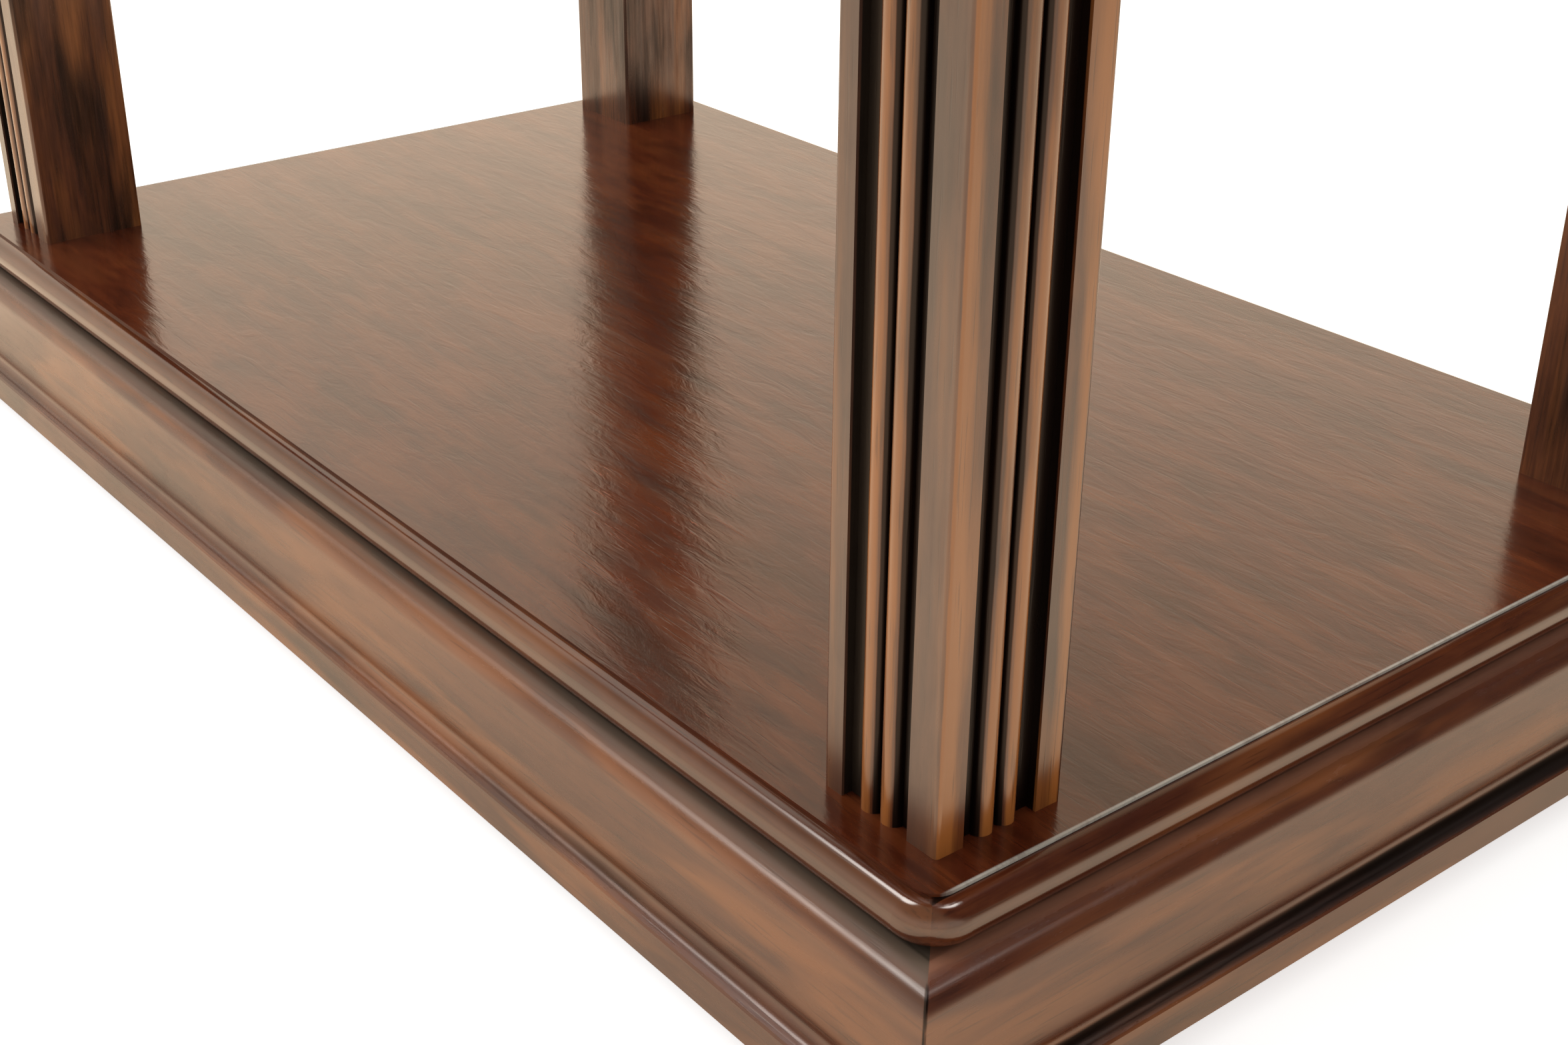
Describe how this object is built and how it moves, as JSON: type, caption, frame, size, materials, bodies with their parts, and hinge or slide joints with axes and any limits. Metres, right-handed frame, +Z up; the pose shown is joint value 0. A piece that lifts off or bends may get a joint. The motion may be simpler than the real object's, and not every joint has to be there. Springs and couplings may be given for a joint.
{
  "type": "photo album stand",
  "caption": "Wooden floor stand for photo albums: a sloping rest with a ledge, hinged to a top frame on fluted posts, over an open shelf on a moulded plinth.",
  "frame": {"origin": "on the floor, at the middle of the footprint", "axes": "+Z up, +X along the long side to the right as seen from the front, -Y towards the front where the ledge of the album rest is"},
  "size_m": [0.6038, 0.3678, 0.9529],
  "materials": {
    "mahogany": "dark red-brown stained mahogany under a satin to gloss lacquer, with darker glaze in the hollows",
    "veneer": "flat mahogany veneer, red-brown, polished lacquer",
    "softwood": "planed pine, unfinished",
    "beech": "turned beech dowel, unfinished",
    "brass": "polished brass, lightly aged",
    "steel": "zinc-plated steel",
    "nylon": "moulded black nylon",
    "felt": "dark green felt"
  },
  "bodies": {
    "stand": {"shelf_panel": "veneer", "shelf_bead_front": "mahogany", "shelf_bead_back": "mahogany", "shelf_bead_left": "mahogany", "shelf_bead_right": "mahogany", "base_moulding_front": "mahogany", "base_moulding_back": "mahogany", "base_moulding_left": "mahogany", "base_moulding_right": "mahogany", "sub_rail_front": "softwood", "sub_rail_back": "softwood", "sub_rail_left": "softwood", "sub_rail_right": "softwood", "centre_rail": "softwood", "corner_block_front_left": "softwood", "corner_block_front_right": "softwood", "corner_block_back_left": "softwood", "corner_block_back_right": "softwood", "floor_glides": "nylon", "moulding_screws": "steel", "post_bolts": "steel", "post_front_left": "mahogany", "post_front_right": "mahogany", "post_back_left": "mahogany", "post_back_right": "mahogany", "top_rail_front": "mahogany", "top_rail_back": "mahogany", "top_rail_left": "mahogany", "top_rail_right": "mahogany", "apron_front": "mahogany", "apron_back": "mahogany", "apron_left": "mahogany", "apron_right": "mahogany", "apron_dowels": "beech", "cleat_front": "softwood", "cleat_back": "softwood", "cleat_screws": "steel", "rest_pads": "felt", "hinge_frame_leaf_left": "brass", "hinge_frame_leaf_right": "brass", "hinge_pins": "brass", "hinge_frame_screws": "brass", "stay_clamp_left": "brass", "stay_clamp_right": "brass", "stay_clamp_screws": "steel"},
    "rest": {"album_rest": "veneer", "album_ledge": "mahogany", "ledge_screws": "steel", "hinge_rest_leaf_left": "brass", "hinge_rest_leaf_right": "brass", "hinge_rest_screws": "brass", "stay_arm_left": "brass", "stay_arm_right": "brass", "stay_arm_screws": "brass"},
    "screw_left": {"thumbscrew_left": "brass"},
    "screw_right": {"thumbscrew_right": "brass"}
  },
  "joints": [
    {"name": "rest_tilt", "type": "hinge", "parent": "stand", "child": "rest", "pos_m": [0, -0.1575, 0.8049], "axis": [1, 0, 0], "range_deg": [-25, 15]},
    {"name": "thumbscrew_left_turn", "type": "hinge", "parent": "stand", "child": "screw_left", "pos_m": [-0.2, -0.0505, 0.7777], "axis": [1, 0, 0], "range_deg": [0, 360]},
    {"name": "thumbscrew_right_turn", "type": "hinge", "parent": "stand", "child": "screw_right", "pos_m": [0.2, -0.0505, 0.7777], "axis": [-1, 0, 0], "range_deg": [0, 360]}
  ]
}
